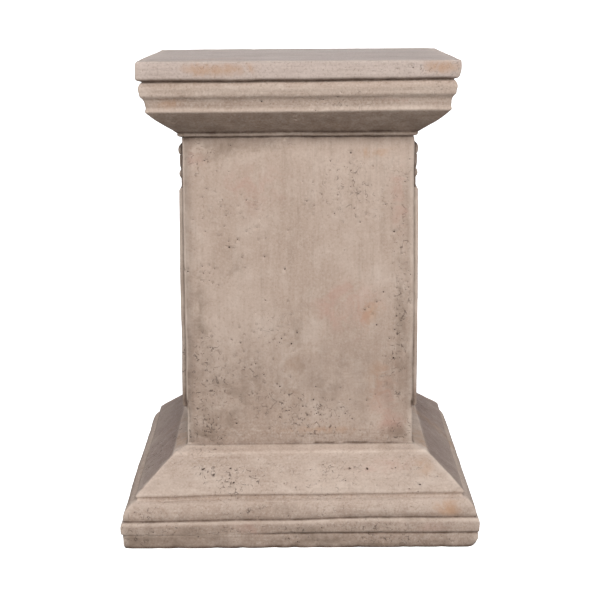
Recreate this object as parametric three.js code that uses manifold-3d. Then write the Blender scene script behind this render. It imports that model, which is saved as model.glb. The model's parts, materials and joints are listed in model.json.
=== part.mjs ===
// Display pedestal: one hollow cast-stone body on a square plan, open underneath.
// A moulded base, a plain shaft and a moulded cap are one casting. The two side faces of the
// shaft carry a low relief: a framed tablet under a short frieze of tongues between two beads.
// Millimetres, +Z up, the plain front faces -Y, the origin is the middle of the plan on the floor.

import * as THREE from "three";
import { mergeVertices } from "three/addons/utils/BufferGeometryUtils.js";
import Module from "manifold-3d";

const wasm = await Module();
wasm.setup();

// Driving dimensions. A "half" is half the width of the square plan at that height. A point whose
// name ends in Bow is the control point of a curve, so the stone comes halfway to it.
const HEIGHT = 700;
const SHAFT_HALF = 167.6;
const WALL = 20;

const BASE = {
  footHalf: 256.2,
  footEdge: 2.2,
  plinthLowHalf: 257.8,
  plinthHalf: 258.8,
  plinthTop: 20.4,
  plinthGrooveHalf: 256.9,
  plinthGroove: 22.4,
  stripHalf: 261,
  stripBottom: 24.6,
  stripTop: 37.8,
  bevelHalf: 257.8,
  bevelTop: 42.4,
  quirkHalf: 254.6,
  quirk: 43.8,
  bandLowHalf: 256.8,
  bandLow: 46.8,
  bandHalfBow: 256,
  bandBow: 60.6,
  bandHighHalf: 245.2,
  bandHigh: 69.4,
  bandEdgeHalf: 239,
  bandEdge: 71.4,
  grooveHalf: 237.3,
  groove: 74.5,
  slopeLowHalf: 239.8,
  slopeLow: 79,
  slopeHighHalf: 190,
  slopeHigh: 122.3,
  shoulderHalfBow: 188.2,
  shoulderBow: 125.2,
  ledgeHalf: 184.6,
  ledge: 126.5,
  shaftFoot: 130.4,
  footFillet: 4,
};

const CAP = {
  neckDepth: 2,
  neck: 589.4,
  beadLowHalf: 170.8,
  beadLow: 590.9,
  beadHalf: 172.6,
  bead: 593.2,
  beadTopHalf: 171.8,
  beadTop: 596,
  soffitLowHalf: 175.2,
  soffitLow: 597.3,
  soffitHighHalf: 213.9,
  soffitHigh: 626.8,
  arrisHalf: 216.4,
  arris: 630.2,
  hollowHalfBow: 213.4,
  hollowBow: 640,
  hollowTopHalf: 219,
  hollowTop: 649,
  roundHalfBow: 224.8,
  roundBow: 658.5,
  roundTopHalf: 221.2,
  roundTop: 668.8,
  quirkHalf: 217.6,
  quirk: 671.4,
  slabLowHalf: 224.6,
  slabLow: 674,
  slabHalf: 227.3,
  slabBottom: 676.3,
  slabEdge: 2.2,
};

const RELIEF = {
  halfWidth: 129.6,
  bottom: 179,
  top: 575,
  ground: 5,
  proud: 8.8,
  softEdge: 1.5,
  frameWidth: 17,
  frameTop: 511,
  frameEdge: 3,
  frameEdgeSteps: 3,
  lowBead: 532.5,
  lowBeadRadius: 5.2,
  lowBeadProud: 7.8,
  tonguesBottom: 538,
  tonguesTop: 559,
  tongueCount: 11,
  tongueGap: 3,
  tongueProud: 7,
  topRoll: 567.5,
  topRollRadius: 7.5,
};

// How far a joined piece reaches into the body, so that the two share volume.
const BITE = 6;

const CURVE_STEPS = 5;
const BEAD_SIDES = 12;
// Vertices closer than this are one.
const WELD = 1e-3;

const stone = new THREE.MeshStandardMaterial({ color: 0xc2ae9f, roughness: 0.9, metalness: 0 });

function solidOf(geometry) {
  const bare = geometry.clone();
  bare.deleteAttribute("normal");
  bare.deleteAttribute("uv");
  const merged = mergeVertices(bare, WELD);
  return new wasm.Manifold(
    new wasm.Mesh({
      numProp: 3,
      vertProperties: merged.attributes.position.array,
      triVerts: new Uint32Array(merged.index.array),
    }),
  );
}

function geometryOf(solid) {
  const mesh = solid.getMesh();
  const geometry = new THREE.BufferGeometry();
  geometry.setAttribute("position", new THREE.BufferAttribute(mesh.vertProperties, 3));
  geometry.setIndex(new THREE.BufferAttribute(mesh.triVerts, 1));
  geometry.computeVertexNormals();
  return geometry;
}

// A body whose plan is a square at every height. The outline is a path of (half width, height)
// that starts and ends on the axis; four turning steps give it mitred corners.
function squareBody(outline, curveSteps) {
  const profile = outline
    .getPoints(curveSteps)
    .map((p) => new THREE.Vector2(p.x * Math.SQRT2, p.y));
  return new THREE.LatheGeometry(profile, 4, Math.PI / 4).rotateX(Math.PI / 2);
}

function baseOutline(path) {
  const b = BASE;
  path.moveTo(0, 0);
  path.lineTo(b.footHalf, 0);
  path.lineTo(b.plinthLowHalf, b.footEdge);
  path.lineTo(b.plinthHalf, b.plinthTop);
  path.lineTo(b.plinthGrooveHalf, b.plinthGroove);
  path.lineTo(b.stripHalf, b.stripBottom);
  path.lineTo(b.stripHalf, b.stripTop);
  path.lineTo(b.bevelHalf, b.bevelTop);
  path.lineTo(b.quirkHalf, b.quirk);
  path.lineTo(b.bandLowHalf, b.bandLow);
  path.quadraticCurveTo(b.bandHalfBow, b.bandBow, b.bandHighHalf, b.bandHigh);
  path.lineTo(b.bandEdgeHalf, b.bandEdge);
  path.lineTo(b.grooveHalf, b.groove);
  path.lineTo(b.slopeLowHalf, b.slopeLow);
  path.lineTo(b.slopeHighHalf, b.slopeHigh);
  path.quadraticCurveTo(b.shoulderHalfBow, b.shoulderBow, b.ledgeHalf, b.ledge);
  path.lineTo(SHAFT_HALF + b.footFillet, b.shaftFoot);
  path.quadraticCurveTo(SHAFT_HALF, b.shaftFoot, SHAFT_HALF, b.shaftFoot + b.footFillet);
}

function capOutline(path) {
  const c = CAP;
  path.lineTo(SHAFT_HALF, c.neck - c.neckDepth);
  path.lineTo(SHAFT_HALF - c.neckDepth, c.neck);
  path.lineTo(c.beadLowHalf, c.beadLow);
  path.lineTo(c.beadHalf, c.bead);
  path.lineTo(c.beadTopHalf, c.beadTop);
  path.lineTo(c.soffitLowHalf, c.soffitLow);
  path.lineTo(c.soffitHighHalf, c.soffitHigh);
  path.lineTo(c.arrisHalf, c.arris);
  path.quadraticCurveTo(c.hollowHalfBow, c.hollowBow, c.hollowTopHalf, c.hollowTop);
  path.quadraticCurveTo(c.roundHalfBow, c.roundBow, c.roundTopHalf, c.roundTop);
  path.lineTo(c.quirkHalf, c.quirk);
  path.lineTo(c.slabLowHalf, c.slabLow);
  path.lineTo(c.slabHalf, c.slabBottom);
  path.lineTo(c.slabHalf, HEIGHT - c.slabEdge);
  path.quadraticCurveTo(c.slabHalf, HEIGHT, c.slabHalf - c.slabEdge, HEIGHT);
  path.lineTo(0, HEIGHT);
}

function outerBody() {
  const outline = new THREE.Path();
  baseOutline(outline);
  capOutline(outline);
  return solidOf(squareBody(outline, CURVE_STEPS));
}

// The hollow follows the outside at the wall's thickness. Its sloping stretches are the base's
// slope and the cap's soffit, moved inwards at right angles by one wall.
function cavity() {
  const inner = SHAFT_HALF - WALL;
  const slope = new THREE.Vector2(
    BASE.slopeHighHalf - BASE.slopeLowHalf,
    BASE.slopeHigh - BASE.slopeLow,
  ).normalize();
  const soffit = new THREE.Vector2(
    CAP.soffitHighHalf - CAP.soffitLowHalf,
    CAP.soffitHigh - CAP.soffitLow,
  ).normalize();
  const slopeHeight = (half) =>
    BASE.slopeLow - WALL / Math.abs(slope.x) + ((half - BASE.slopeLowHalf) * slope.y) / slope.x;
  const soffitHeight = (half) =>
    CAP.soffitLow + WALL / soffit.x + ((half - CAP.soffitLowHalf) * soffit.y) / soffit.x;
  const plinthInner = BASE.plinthHalf - WALL;
  const capInner = CAP.hollowHalfBow - WALL;
  const belowFloor = -10;

  const outline = new THREE.Path();
  outline.moveTo(0, belowFloor);
  outline.lineTo(plinthInner, belowFloor);
  outline.lineTo(plinthInner, slopeHeight(plinthInner));
  outline.lineTo(inner, slopeHeight(inner));
  outline.lineTo(inner, soffitHeight(inner));
  outline.lineTo(capInner, soffitHeight(capInner));
  outline.lineTo(capInner, HEIGHT - WALL);
  outline.lineTo(0, HEIGHT - WALL);
  return solidOf(squareBody(outline, 1));
}

// Relief pieces are drawn in a side face's own plane, x along the face and y up, and stand out
// along z from the face of the shaft.
function rectangle(halfWidth, bottom, top) {
  const shape = new THREE.Shape();
  shape.moveTo(-halfWidth, bottom);
  shape.lineTo(halfWidth, bottom);
  shape.lineTo(halfWidth, top);
  shape.lineTo(-halfWidth, top);
  shape.closePath();
  return shape;
}

function raised(shape, proud, edge, edgeSteps) {
  const geometry = new THREE.ExtrudeGeometry(shape, {
    depth: BITE + proud - 2 * edge,
    bevelEnabled: true,
    bevelThickness: edge,
    bevelSize: edge,
    bevelOffset: -edge,
    bevelSegments: edgeSteps,
    curveSegments: CURVE_STEPS,
  });
  return geometry.translate(0, 0, edge - BITE);
}

function bead(height, radius, proud) {
  const length = 2 * RELIEF.halfWidth;
  const bar = new THREE.CylinderGeometry(radius, radius, length, BEAD_SIDES);
  bar.rotateZ(Math.PI / 2);
  return bar.translate(0, height, proud - radius);
}

function frame() {
  const border = rectangle(RELIEF.halfWidth, RELIEF.bottom, RELIEF.frameTop);
  border.holes.push(
    rectangle(
      RELIEF.halfWidth - RELIEF.frameWidth,
      RELIEF.bottom + RELIEF.frameWidth,
      RELIEF.frameTop - RELIEF.frameWidth,
    ),
  );
  return raised(border, RELIEF.proud, RELIEF.frameEdge, RELIEF.frameEdgeSteps);
}

function tongue(index) {
  const pitch = (2 * RELIEF.halfWidth) / RELIEF.tongueCount;
  const radius = (pitch - RELIEF.tongueGap) / 2;
  const middle = -RELIEF.halfWidth + (index + 0.5) * pitch;
  const shape = new THREE.Shape();
  shape.moveTo(middle - radius, RELIEF.tonguesTop);
  shape.lineTo(middle - radius, RELIEF.tonguesBottom + radius);
  shape.absarc(middle, RELIEF.tonguesBottom + radius, radius, Math.PI, 2 * Math.PI, false);
  shape.lineTo(middle + radius, RELIEF.tonguesTop);
  shape.closePath();
  return raised(shape, RELIEF.tongueProud, RELIEF.softEdge, 1);
}

function relief() {
  const ground = rectangle(RELIEF.halfWidth, RELIEF.bottom, RELIEF.top);
  const pieces = [
    raised(ground, RELIEF.ground, RELIEF.softEdge, 1),
    frame(),
    bead(RELIEF.lowBead, RELIEF.lowBeadRadius, RELIEF.lowBeadProud),
    bead(RELIEF.topRoll, RELIEF.topRollRadius, RELIEF.proud),
  ];
  for (let i = 0; i < RELIEF.tongueCount; i++) pieces.push(tongue(i));
  const ontoSide = new THREE.Matrix4().makeBasis(
    new THREE.Vector3(0, 1, 0),
    new THREE.Vector3(0, 0, 1),
    new THREE.Vector3(1, 0, 0),
  );
  ontoSide.setPosition(SHAFT_HALF, 0, 0);
  return pieces.map((piece) => piece.applyMatrix4(ontoSide));
}

function pedestalBody() {
  let body = outerBody();
  for (const turn of [0, Math.PI]) {
    for (const piece of relief()) body = body.add(solidOf(piece.rotateZ(turn)));
  }
  return body.subtract(cavity());
}

const pedestal = new THREE.Mesh(geometryOf(pedestalBody()), stone);
pedestal.name = "pedestal";

const root = new THREE.Group();
root.add(pedestal);

export default root;
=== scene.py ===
"""Display pedestal in warm beige cast stone: its fine surface, its finish, and a plain studio."""

import json
import math
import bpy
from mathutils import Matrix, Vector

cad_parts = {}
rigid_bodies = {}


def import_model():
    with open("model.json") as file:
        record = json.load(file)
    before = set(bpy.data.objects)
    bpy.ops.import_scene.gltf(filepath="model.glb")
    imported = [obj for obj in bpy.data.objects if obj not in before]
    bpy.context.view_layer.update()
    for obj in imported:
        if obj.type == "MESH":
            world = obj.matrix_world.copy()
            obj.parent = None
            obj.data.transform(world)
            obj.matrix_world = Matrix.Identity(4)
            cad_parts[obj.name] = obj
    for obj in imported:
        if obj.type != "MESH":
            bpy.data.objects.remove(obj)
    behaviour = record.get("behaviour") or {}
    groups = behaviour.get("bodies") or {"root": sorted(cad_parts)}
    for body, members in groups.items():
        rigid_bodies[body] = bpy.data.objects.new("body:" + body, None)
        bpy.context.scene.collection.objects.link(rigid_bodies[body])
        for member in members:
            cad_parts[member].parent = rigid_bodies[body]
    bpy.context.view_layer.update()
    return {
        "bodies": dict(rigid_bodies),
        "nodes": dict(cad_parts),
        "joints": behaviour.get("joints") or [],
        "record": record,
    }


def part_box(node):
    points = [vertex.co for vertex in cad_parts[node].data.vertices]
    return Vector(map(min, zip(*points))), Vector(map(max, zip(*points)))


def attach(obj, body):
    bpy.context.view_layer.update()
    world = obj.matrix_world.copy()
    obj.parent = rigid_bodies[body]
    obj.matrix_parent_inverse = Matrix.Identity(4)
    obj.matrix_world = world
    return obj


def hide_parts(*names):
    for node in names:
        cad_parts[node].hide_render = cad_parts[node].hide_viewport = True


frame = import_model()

from types import SimpleNamespace

import bpy
import numpy as np
from mathutils import Matrix, Vector
from mathutils.geometry import delaunay_2d_cdt

NODE = "pedestal"
LOW, HIGH = (np.array(corner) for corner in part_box(NODE))
# One millimetre of the part, which is 700 mm tall, in metres. Sizes below are in millimetres.
MM = HIGH[2] / 700
SEED = 41

# Shape: the section

SHAFT_HALF = 167.6
SHAFT_FOOT = 134.4
SHAFT_TOP = 587.3
TOP = 700.0
# Rows lie this far apart round the mouldings, on runs longer than LONG_RUN, and both on the flat
# top and inside.
FINE = 2.0
STRAIGHT = 4.8
COARSE = 40.0
LONG_RUN = 24.0
SHAFT_ROWS = 74
# An even row of the shaft is left out where it would lie nearer than this to a row of the relief.
ROW_GAP = 2

# Each knot of the section is (half width, height, bulge, darkening, lightening). The stretch that ends
# there bows out by the bulge, a share of its length. Darkening is dark patina, and painted shade where
# noted below; lightening is light rubbing, and painted highlight where noted below; both go to 1.
INSIDE = [
    (9, 680, 0, 0.5, 0), (186, 680, 0, 0.5, 0), (193.4, 674, 0.15, 0.5, 0), (193.4, 638, 0, 0.5, 0),
    (147.6, 602, 0, 0.5, 0), (147.6, 132, 0, 0.45, 0), (236, 57, 0, 0.45, 0),
    (238.6, 51, 0.1, 0.5, 0), (238.6, 2, 0, 0.55, 0),
]
# On the base, the darkening of the foot's dark line is partly a painted contact shadow, that of the
# plinth, the strip and the band's foot partly painted shade for light falling off low down, and the
# lightening of the arrises partly painted highlight.
BASE = [
    (240.4, 0, 0, 0.6, 0), (256.4, 0, 0, 1.0, 0), (258.0, 2.0, 0.2, 0.9, 0),
    (258.4, 6.0, 0, 0.40, 0), (258.9, 20.0, 0, 0.32, 0), (256.9, 22.4, 0, 1.0, 0),
    (260.5, 24.9, 0, 0.35, 0.1), (260.9, 37.6, 0, 0.3, 0), (257.8, 42.4, 0.06, 0.0, 0.6),
    (254.2, 43.8, 0, 1.0, 0), (256.8, 46.8, 0, 0.4, 0), (245.2, 69.4, 0.11, 0.04, 0.15),
    (238.9, 71.4, 0.05, 0.1, 0), (237.1, 73.4, -0.1, 0.24, 0), (237.5, 76.4, 0, 0.28, 0),
    (239.7, 78.6, 0, 0.2, 0.1), (238.4, 80.8, 0.2, 0.13, 0.5), (189.9, 122.3, 0.008, 0.13, 0.15),
    (188.6, 123.9, 0.1, 0.0, 0.55), (186.6, 125.4, 0.12, 0.0, 0.3),
    (184.2, 126.5, 0.05, 0.03, 0.25), (171.4, 130.4, 0, 0.0, 0.35), (168.7, 131.4, -0.1, 0.75, 0),
    (SHAFT_HALF, SHAFT_FOOT, -0.1, 0.1, 0),
]
# Under the cap, the darkening of the soffit, the bead and the cavetto is partly painted shade under the
# overhang; the lightening of the ovolo's lower part is painted highlight, and that of the arrises
# partly painted highlight.
CAP = [
    (165.6, 589.4, 0, 1.0, 0), (170.8, 590.8, 0, 0.6, 0), (172.5, 593.0, 0.1, 0.2, 0.4),
    (171.6, 595.4, 0.05, 0.7, 0), (174.6, 597.0, 0, 0.95, 0), (178.6, 599.8, 0, 0.52, 0),
    (213.9, 626.8, 0.03, 0.42, 0), (216.4, 630.2, 0.15, 0.0, 0.6), (215.8, 638.0, -0.1, 0.2, 0),
    (219.2, 648.4, -0.12, 0.12, 0), (222.4, 655.8, 0.16, 0.0, 0.3), (221.2, 668.8, 0.14, 0.07, 0),
    (218.0, 671.4, 0, 0.8, 0), (224.8, 673.6, 0, 0.6, 0), (227.0, 675.6, 0.2, 0.1, 0.2),
    (227.2, 698.8, 0, 0.0, 0.1), (226.6, 699.8, 0.2, 0.0, 0.75), (224.8, TOP, 0.05, 0.0, 0.5),
]
LID = [(208, TOP, 0, 0, 0.15)] + [(half, TOP, 0, 0.0, 0) for half in (180, 140, 95, 50, 9)]

# Side relief, the same on +X and -X: a framed tablet under a frieze of tongues.
RELIEF_HALF = 129.6
RELIEF_LOW = 179.0
RELIEF_HIGH = 575.0
GROUND = 5.0
FRAME_PROUD = 3.7
FRAME_WIDTH = 17.0
FRAME_TOP = 511.0
LOW_BEAD = (532.5, 5.4, 3.0)
TOP_ROLL = (567.3, 7.5, 3.7)
TONGUES = 11
TONGUE_LOW = 538.5
TONGUE_HIGH = 558.5
TONGUE_PROUD = 2.4
# How far the edges of the relief are rounded.
GROUND_ROUND = 2.2
FRAME_ROUND = 3
TONGUE_RADIUS = 0.44
# Rows and columns follow the relief's turns: depths inside an edge, shares of a bead's radius and
# of a tongue's half width, heights up the round end of a tongue, and places beside the tablet.
EDGE_STEPS = (-0.3, 0.1, 0.7, 2.4)
BEAD_STEPS = (-1.03, -0.95, -0.6, 0, 0.6, 0.95, 1.03)
TONGUE_STEPS = (-0.88, -0.62, -0.22, 0.22, 0.62, 0.88)
TONGUE_END_STEPS = (0.3, 1.5, 3.5, 6, 9, 12)
TONGUE_TOP_STEPS = (-0.2, 0.2)
BESIDE_TABLET = (136, 145, 155)
TABLET_MARGIN = 4


def stretch(start, end, bulge, spacing):
    """Points after start up to end, on a quadratic curve that bows to its right by bulge."""
    start = np.array(start, float)
    end = np.array(end, float)
    along = end - start
    control = (start + end) / 2 + 2 * bulge * np.array((along[1], -along[0]))
    steps = max(1, round(float(np.hypot(*along)) / spacing))
    t = (np.arange(1, steps + 1) / steps)[:, None]
    return (1 - t) ** 2 * start + 2 * t * (1 - t) * control + t**2 * end


def follow(knots, rows, short, long):
    """Adds rows of (half, height, dirt_and_shade, wear_and_highlight) along the knots, short or long
    apart, to rows.
    """
    for half, height, bulge, dirt_and_shade, wear_and_highlight in knots:
        if not rows:
            rows.append((half, height, dirt_and_shade, wear_and_highlight))
            continue
        last = rows[-1]
        run = math.hypot(half - last[0], height - last[1])
        points = stretch(last[:2], (half, height), bulge, short if run < LONG_RUN else long)
        for i, (h, z) in enumerate(points, 1):
            t = i / len(points)
            rows.append((h, z, last[2] + t * (dirt_and_shade - last[2]), last[3] + t * (wear_and_highlight - last[3])))


def relief_lines():
    """Heights where the relief turns, so that its edges are crisp."""
    lines = []
    for edge, inward in (
        (RELIEF_LOW, 1),
        (RELIEF_LOW + FRAME_WIDTH, -1),
        (FRAME_TOP - FRAME_WIDTH, 1),
        (FRAME_TOP, -1),
        (RELIEF_HIGH, -1),
    ):
        lines += [edge + inward * depth for depth in EDGE_STEPS]
    for middle, radius, _ in (LOW_BEAD, TOP_ROLL):
        lines += [middle + radius * share for share in BEAD_STEPS]
    lines += [TONGUE_LOW + step for step in TONGUE_END_STEPS]
    return lines + [TONGUE_HIGH + step for step in TONGUE_TOP_STEPS]


def shaft_rows(rows):
    exact = sorted(relief_lines())
    even = np.linspace(SHAFT_FOOT, SHAFT_TOP, SHAFT_ROWS)[1:-1]
    heights = [z for z in even if min(abs(z - line) for line in exact) > ROW_GAP] + exact
    for z in sorted(heights) + [SHAFT_TOP]:
        rows.append((SHAFT_HALF, z, 0.0, 0.0))


def section():
    """All rows of the body, from the middle of the inside up over the rim to the middle of the top."""
    rows = []
    follow(INSIDE, rows, COARSE, COARSE)
    rim = len(rows)
    follow(BASE, rows, FINE, STRAIGHT)
    shaft_rows(rows)
    follow(CAP, rows, FINE, STRAIGHT)
    follow(LID, rows, COARSE, COARSE)
    rows = np.array(rows)
    # The knots are softened a little, but not on the floor, on the top or inside.
    soft = rows.copy()
    soft[1:-1] = (rows[:-2] + 6 * rows[1:-1] + rows[2:]) / 8
    fixed = (rows[:, 1] <= 0) | (rows[:, 1] >= TOP) | (np.arange(len(rows)) < rim)
    soft[fixed] = rows[fixed]
    return soft, rim


# Shape: the plan

PLAIN_COLUMNS = 54
CORNER_TURNS = (30, 60)
# How far the upright corners are rounded, and how much more between these heights of the shaft.
CORNER_ROUND = 2.2
SHAFT_CORNER_MORE = 1.4
SHAFT_ROUNDED = (132, 140, 584, 592)
INSIDE_ROUND = 2.0
MID_SHAFT = 300.0


def side_columns():
    """Places along a carved side face, from -1 to 1, with one at each turn of the relief."""
    pitch = 2 * RELIEF_HALF / TONGUES
    places = []
    for i in range(TONGUES):
        middle = -RELIEF_HALF + (i + 0.5) * pitch
        places += [middle + share * pitch / 2 for share in TONGUE_STEPS]
    places = [a for a in places if abs(a) < RELIEF_HALF - TABLET_MARGIN]
    for sign in (-1, 1):
        places += [sign * (RELIEF_HALF - depth) for depth in EDGE_STEPS]
        inner = RELIEF_HALF - FRAME_WIDTH
        places += [sign * (inner + depth) for depth in EDGE_STEPS]
        places += [sign * a for a in BESIDE_TABLET]
    straight = SHAFT_HALF - corner_radius(np.array([MID_SHAFT]))[0]
    return np.array([-1] + sorted(a / straight for a in places) + [1])


def ramp(value, start, end):
    """0 at start and 1 at end, and level beyond."""
    return np.clip((value - start) / (end - start), 0, 1)


def near(value, middle, reach):
    """1 where value is middle, fading out smoothly over about reach either way."""
    return np.exp(-(((value - middle) / reach) ** 2))


def between(value, first, full, last, end):
    """0 up to first, 1 from full to last, and 0 again from end on."""
    return ramp(value, first, full) * ramp(value, end, last)


def corner_radius(height):
    """The rounding of the upright corners, softest on the shaft."""
    return CORNER_ROUND + SHAFT_CORNER_MORE * between(height, *SHAFT_ROUNDED)


def plan_columns():
    """Each column is (side, place along it from -1 to 1, corner turn in degrees)."""
    plain = np.linspace(-1, 1, PLAIN_COLUMNS + 1)
    carved = side_columns()
    columns = []
    for side in range(4):
        columns += [(side, place, 0) for place in (carved if side % 2 else plain)]
        columns += [(side, 1, turn) for turn in CORNER_TURNS]
    return np.array(columns)


def side_axes(side):
    """Unit vectors out of and along the sides: 0 front, 1 right, 2 back, 3 left."""
    angle = np.radians(90 * side - 90)
    out = np.stack([np.cos(angle), np.sin(angle)], -1)
    along = np.stack([-out[..., 1], out[..., 0]], -1)
    return out, along


# Shape: relief, hand-made unevenness and wear

rng = np.random.default_rng(SEED)


def waves(points, size, count=16):
    """Smooth random swell of about unit height over points, with lumps about size across."""
    total = np.zeros(len(points))
    for _ in range(count):
        direction = rng.normal(size=3)
        direction /= np.linalg.norm(direction)
        turns = rng.uniform(0.5, 1.5) * math.pi / size
        total += np.sin(points @ direction * turns + rng.uniform(0, 2 * math.pi))
    return total / math.sqrt(count / 2)


def quarter_round(depth, width):
    """A rounded step: 0 outside the edge, rising as a quarter circle over width to 1."""
    t = np.clip(depth / width, 0, 1)
    return np.sqrt(1 - (1 - t) ** 2)


def relief_height(along, height):
    """How far the relief stands off a carved side face."""
    inside = np.minimum(height - RELIEF_LOW, RELIEF_HIGH - height)
    inside = np.minimum(inside, RELIEF_HALF - np.abs(along))
    rise = GROUND * quarter_round(inside, GROUND_ROUND)
    on_tablet = np.minimum(inside, FRAME_TOP - height)
    frame = quarter_round(on_tablet, FRAME_ROUND) * quarter_round(FRAME_WIDTH - on_tablet, FRAME_ROUND)
    rise += FRAME_PROUD * frame
    for middle, radius, proud in (LOW_BEAD, TOP_ROLL):
        across = np.clip(1 - ((height - middle) / radius) ** 2, 0, 1)
        rise += proud * np.sqrt(across) * quarter_round(inside, FRAME_ROUND)
    pitch = 2 * RELIEF_HALF / TONGUES
    radius = TONGUE_RADIUS * pitch
    offset = np.mod(along + RELIEF_HALF, pitch) - pitch / 2
    below = np.clip(TONGUE_LOW + radius - height, 0, None)
    from_middle = np.hypot(offset, below) / radius
    dome = np.sqrt(np.clip(1 - from_middle**2, 0, 1))
    rise += TONGUE_PROUD * dome * (height < TONGUE_HIGH) * (inside > 0)
    return rise


def on_shaft(height):
    return (height > SHAFT_FOOT) & (height < SHAFT_TOP)


# The groove above the plinth as (height, reach). It is filled left of this place on the front.
PLINTH_GROOVE = (22.4, 2.2)
FILLED_TO = -60
FILL_FADE = 25
FILL_SWELL = 150
FILL_DEPTH = 2.4
FILL_CLEANS = 0.8


def plinth_groove_fill(points, side, outer):
    """How far the plinth's groove is filled: on the left of the front, and here and there behind."""
    groove = near(points[:, 2], *PLINTH_GROOVE) * outer
    behind = 0.5 + 0.5 * np.tanh(1.5 * waves(points, FILL_SWELL))
    left_of_front = 0.5 - 0.5 * np.tanh((points[:, 0] - FILLED_TO) / FILL_FADE)
    return groove * np.where(side == 0, left_of_front, behind)


# The mouldings of the front don't run level. How far the base's rise or droop against their own
# line is given at places across, one row for each level up. The cap's climb to the right.
BASE_PLACES = (-260, -185, -100, 0, 60, 100, 185, 260)
BASE_LEVELS = (4, 22, 43, 74, 124, 134)
BASE_RISES = (
    (0, 0, 0, 0, 0, 0, 0, 0),
    (-2.4, -2.0, -1.0, 0, 0, 0, 0, 0),
    (-4.0, -3.4, -1.8, -1.4, 0.3, 1.2, 1.0, 1.1),
    (-5.2, -4.6, -2.1, -1.8, -2.0, -2.0, -1.2, -0.8),
    (-2.8, -2.3, -0.5, 0, 0, 0, 2.0, 2.3),
    (0, 0, 0, 0, 0, 0, 0, 0),
)
CAP_PLACES = (-230, 20, 130, 230)
CAP_RISE = (0.0, 0.0, 1.6, 2.1)
CAP_SPAN = (588, 606, 684, 699)
# How high the base's slope rises behind, on the left and on the right.
BACK_RISE = (2.5, 4.5)
BACK_SPAN = (60, 76, 90, 122)
# What one face does fades in from here to there, measured from the middle of the plan.
TOWARDS_FACE = (60, 230)


def wander(points):
    """How far the mouldings rise from their own level."""
    x, y, z = points.T
    rises = np.stack([np.interp(x, BASE_PLACES, rise) for rise in BASE_RISES])
    level = np.interp(z, BASE_LEVELS, np.arange(len(BASE_LEVELS)))
    below = np.minimum(level.astype(int), len(BASE_LEVELS) - 2)
    each = np.arange(len(points))
    base = rises[below, each] + (level - below) * (rises[below + 1, each] - rises[below, each])
    cap = np.interp(x, CAP_PLACES, CAP_RISE) * between(z, *CAP_SPAN)
    behind = np.interp(x, (BASE_PLACES[0], BASE_PLACES[-1]), BACK_RISE) * between(z, *BACK_SPAN)
    return (base + cap) * ramp(-y, *TOWARDS_FACE) + behind * ramp(y, *TOWARDS_FACE)


# Where a side bulges or lies back a little, as (side, height, reach, how far it stands out). The
# sides are 1 for the right and -1 for the left.
BULGES = (
    (-1, 60, 15, 2.0),
    (-1, 95, 25, 0.9),
    (-1, 210, 55, 1.9),
    (1, 300, 110, 1.5),
    (1, 14, 7, 1.7),
    (-1, 593, 6, 3.0),
    (-1, 688, 14, -1.0),
    (1, 688, 14, 1.8),
)
BULGE_FADE = (60, 200)
# The slope's lower corners stand out behind.
BACK_CORNERS = (84, 9, 3.0)
CORNER_FADE = (180, 236)


def bulge(points):
    """How far the sides stand out to the right or left of their own place, along X."""
    x, y, z = points.T
    total = np.zeros(len(points))
    for side, height, reach, out in BULGES:
        total += side * out * near(z, height, reach) * ramp(side * x, *BULGE_FADE)
    height, reach, out = BACK_CORNERS
    corners = ramp(y, *TOWARDS_FACE) * ramp(np.abs(x), *CORNER_FADE)
    return total + np.sign(x) * out * corners * near(z, height, reach)


# Chips and knocks are (x, y, z, reach, depth).
CHIPS = [
    (-183, 176, 132, 11, 5), (182, 178, 132, 9, 4), (-255, -255, 12, 12, 3),
    (256, -250, 18, 14, 2.5), (-258, -258, 0, 7, 3.4), (258, -258, 0, 12, 7.5),
    (222, -226, 678, 9, 2.4), (-224, -224, 700, 8, 2), (224, 224, 700, 9, 2.4),
    (-215, -215, 634, 7, 2), (60, -261, 42, 8, 1.2), (150, -259, 3, 9, 3.2), (172, -259, 2, 7, 2.8),
    (206, -259, 1, 8, 3.2), (-120, -259, 2, 9, 3.0), (-176, -259, 1, 8, 3.4),
    (-205, -259, 2, 7, 2.6), (-84, -259, 1, 7, 3.0), (-40, -259, 3, 12, 2.8), (-8, -259, 1, 7, 3.0),
    (24, -259, 2, 8, 2.6), (88, -259, 1, 8, 3.0), (226, -229, 676, 8, 3.0), (-6, -259, 16, 10, 1.4),
    (-90, -240, 84, 8, 1.2), (185, -185, 131, 8, 1.5), (-170, -170, 560, 9, 1.2),
    (168, -168, 250, 9, 1.2), (-168, -168, 175, 10, 1.6),
]
ARRISES = ((226, 699), (226, 679), (215, 632), (261, 42), (239, 84), (186, 131), (258, 3))
RANDOM_CHIPS = 70
CHIP_REACH = (4, 10)
CHIP_DEPTH = (0.5, 1.5)
# Above this height a knock also takes the stone down.
CHIPS_FROM_ABOVE = 600
DOWNWARD = 0.4


def random_chips():
    chips = []
    for _ in range(RANDOM_CHIPS):
        half, height = ARRISES[rng.integers(len(ARRISES))]
        out, along = side_axes(np.array(rng.integers(4)))
        x, y = out * half + along * rng.uniform(-half, half)
        chips.append((x, y, height, rng.uniform(*CHIP_REACH), rng.uniform(*CHIP_DEPTH)))
    return chips


def knock(points, outward, chips):
    """Pushes the points round each chip inwards, against outward."""
    for x, y, z, reach, depth in chips:
        distance = np.linalg.norm(points - (x, y, z), axis=1) / reach
        points -= outward * (depth * np.exp(-2 * distance**2))[:, None]


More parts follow.
